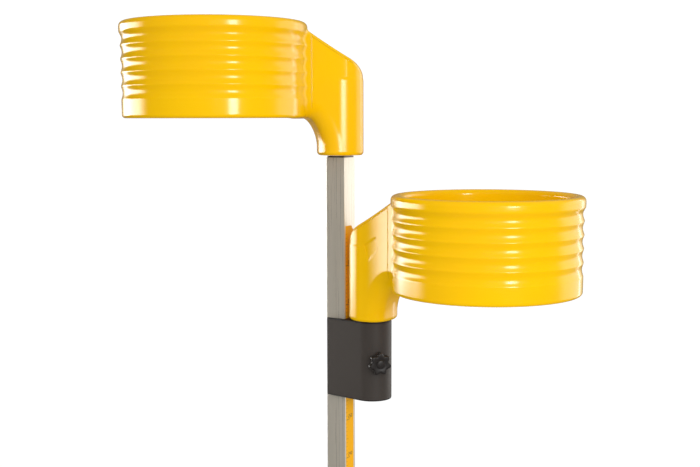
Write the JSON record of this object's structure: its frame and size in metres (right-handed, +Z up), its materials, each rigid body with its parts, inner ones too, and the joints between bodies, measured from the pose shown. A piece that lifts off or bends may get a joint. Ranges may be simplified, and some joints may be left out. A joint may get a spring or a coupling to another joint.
{
  "type": "korfball post",
  "caption": "Free-standing square post with one turning basket on its top and another on a clamped carriage that slides along it.",
  "frame": {"origin": "on the floor, where the mast's axis meets the underside of the base mat", "axes": "+Z up along the mast, +X from the mast towards the carriage's round end, +Y to the side away from the swivel clamp"},
  "size_m": [1.1242, 0.8563, 3.5],
  "materials": {
    "basket_plastic": "glossy blow-moulded polyethylene, warm yellow",
    "mast_aluminium": "satin anodised",
    "carriage_paint": "dark grey powder coat on aluminium",
    "keeper_paint": "black powder coat on steel",
    "cap_plastic": "black matt",
    "knob_plastic": "black, lightly textured",
    "scale_film": "yellow printed film",
    "pivot_aluminium": "dark anodised",
    "nylon": "natural, smooth",
    "washer_plastic": "black, smooth",
    "stop_rubber": "black",
    "tube_steel": "zinc plated tube",
    "insert_brass": "turned",
    "zinc_steel": "zinc plated",
    "base_paint": "dark grey powder coat on steel",
    "mat_rubber": "black, fine ribbed",
    "hub_plastic": "grey nylon",
    "wheel_rubber": "black solid rubber"
  },
  "bodies": {
    "stand": {"base_mat": "mat_rubber", "base_plate": "base_paint", "mast_sleeve": "base_paint", "sleeve_bolts": "zinc_steel", "sleeve_washers": "zinc_steel", "mast_lock_screws": "zinc_steel", "wheel_brackets": "base_paint", "wheel_axles": "zinc_steel", "wheel_nuts": "zinc_steel", "mast": "mast_aluminium", "height_scale": "scale_film", "top_pivot": "pivot_aluminium", "plug_screws": "zinc_steel", "top_washer": "nylon", "travel_stops": "stop_rubber"},
    "wheel_left": {"wheel_hub_left": "hub_plastic", "wheel_tyre_left": "wheel_rubber"},
    "wheel_right": {"wheel_hub_right": "hub_plastic", "wheel_tyre_right": "wheel_rubber"},
    "upper_goal": {"upper_basket": "basket_plastic", "upper_bush": "nylon"},
    "carriage": {"carriage_body": "carriage_paint", "carriage_top_cap": "cap_plastic", "carriage_bottom_cap": "cap_plastic", "glide_upper": "nylon", "glide_lower": "nylon", "rear_keepers": "keeper_paint", "keeper_screws": "zinc_steel", "swivel_washer": "washer_plastic", "swivel_insert": "insert_brass", "height_insert": "insert_brass"},
    "lower_goal": {"swivel_tube": "tube_steel", "lower_basket": "basket_plastic"},
    "swivel_clamp_pad": {"swivel_pad": "nylon"},
    "swivel_clamp_knob": {"swivel_screw": "zinc_steel", "swivel_knob": "knob_plastic"},
    "height_clamp_pad": {"height_pad": "nylon"},
    "height_clamp_knob": {"height_screw": "zinc_steel", "height_knob": "knob_plastic"}
  },
  "joints": [
    {"name": "wheel_left_spin", "type": "hinge", "parent": "stand", "child": "wheel_left", "pos_m": [-0.436, 0.319, 0.056], "axis": [0, 1, 0], "continuous": true},
    {"name": "wheel_right_spin", "type": "hinge", "parent": "stand", "child": "wheel_right", "pos_m": [-0.436, -0.319, 0.056], "axis": [0, 1, 0], "continuous": true},
    {"name": "upper_goal_swivel", "type": "hinge", "parent": "stand", "child": "upper_goal", "pos_m": [0, 0, 3.1755], "axis": [0, 0, 1], "continuous": true},
    {"name": "carriage_slide", "type": "slide", "parent": "stand", "child": "carriage", "axis": [0, 0, 1], "range_m": [-1.1, 0.081]},
    {"name": "lower_goal_swivel", "type": "hinge", "parent": "carriage", "child": "lower_goal", "pos_m": [0.092, 0, 2.7635], "axis": [0, 0, 1], "range_deg": [-90, 90]},
    {"name": "swivel_pad_slide", "type": "slide", "parent": "carriage", "child": "swivel_clamp_pad", "axis": [0.7145, -0.6997, 0], "range_m": [0, 0.0045]},
    {"name": "swivel_knob_turn", "type": "hinge", "parent": "swivel_clamp_pad", "child": "swivel_clamp_knob", "pos_m": [0.092, 0, 2.661], "axis": [0.7145, -0.6997, 0], "range_deg": [0, 1080]},
    {"name": "height_pad_slide", "type": "slide", "parent": "carriage", "child": "height_clamp_pad", "axis": [0, 1, 0], "range_m": [0, 0.0045]},
    {"name": "height_knob_turn", "type": "hinge", "parent": "height_clamp_pad", "child": "height_clamp_knob", "pos_m": [0, 0, 2.661], "axis": [0, 1, 0], "range_deg": [0, 1080]}
  ],
  "couplings": [
    {"joint": "swivel_pad_slide", "follows": "swivel_knob_turn", "m_per_rad": 0.00023873},
    {"joint": "height_pad_slide", "follows": "height_knob_turn", "m_per_rad": 0.00023873}
  ]
}
